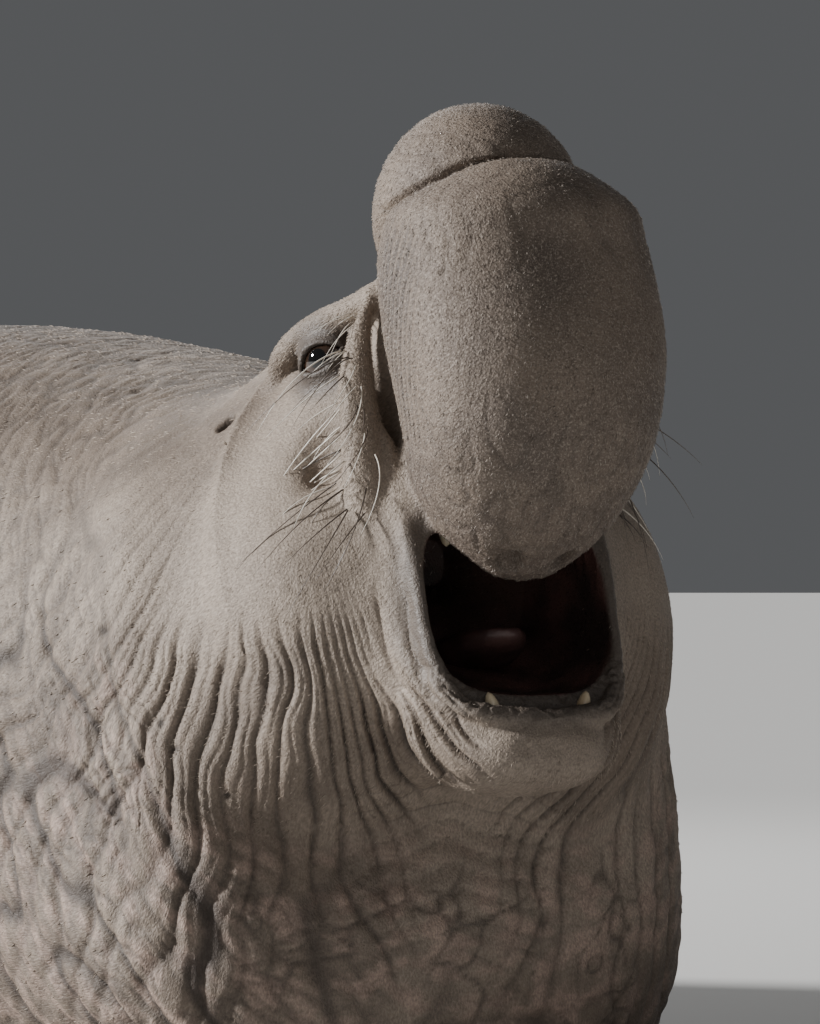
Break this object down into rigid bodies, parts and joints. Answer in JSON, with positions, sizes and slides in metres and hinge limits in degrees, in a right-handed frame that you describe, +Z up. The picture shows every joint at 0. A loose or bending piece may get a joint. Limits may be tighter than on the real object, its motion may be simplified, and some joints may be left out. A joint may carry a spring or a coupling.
{
  "type": "elephant seal",
  "caption": "Life-size bull northern elephant seal lying on its chest, head raised and mouth wide open, with the inflated nose hanging in front and the flippers resting on the floor",
  "frame": {"origin": "middle of the footprint, on the floor", "axes": "+Z up, +Y towards the tail along the trunk, +X towards the seal's own left side"},
  "size_m": [1.8028, 4.4068, 1.18],
  "materials": {
    "hide": "short dull fur lying flat over wrinkled hide",
    "nose_hide": "coarse bristly hide",
    "flipper_hide": "dark leathery skin",
    "mouth_lining": "wet",
    "eye": "wet gloss",
    "tooth": "worn satin",
    "claw": "worn dark horn",
    "whisker": "stiff pale hair"
  },
  "bodies": {
    "root": {"head": "hide", "proboscis": "nose_hide", "lower_jaw": "hide", "tongue": "mouth_lining", "eye_left": "eye", "eye_right": "eye", "canine_lower_left": "tooth", "canine_lower_right": "tooth", "canine_upper_left": "tooth", "canine_upper_right": "tooth", "neck": "hide", "chest": "hide", "torso": "hide", "hindquarters": "hide", "tail": "flipper_hide", "fore_flipper_left": "flipper_hide", "fore_flipper_right": "flipper_hide", "hind_flipper_left": "flipper_hide", "hind_flipper_right": "flipper_hide"}
  },
  "joints": []
}
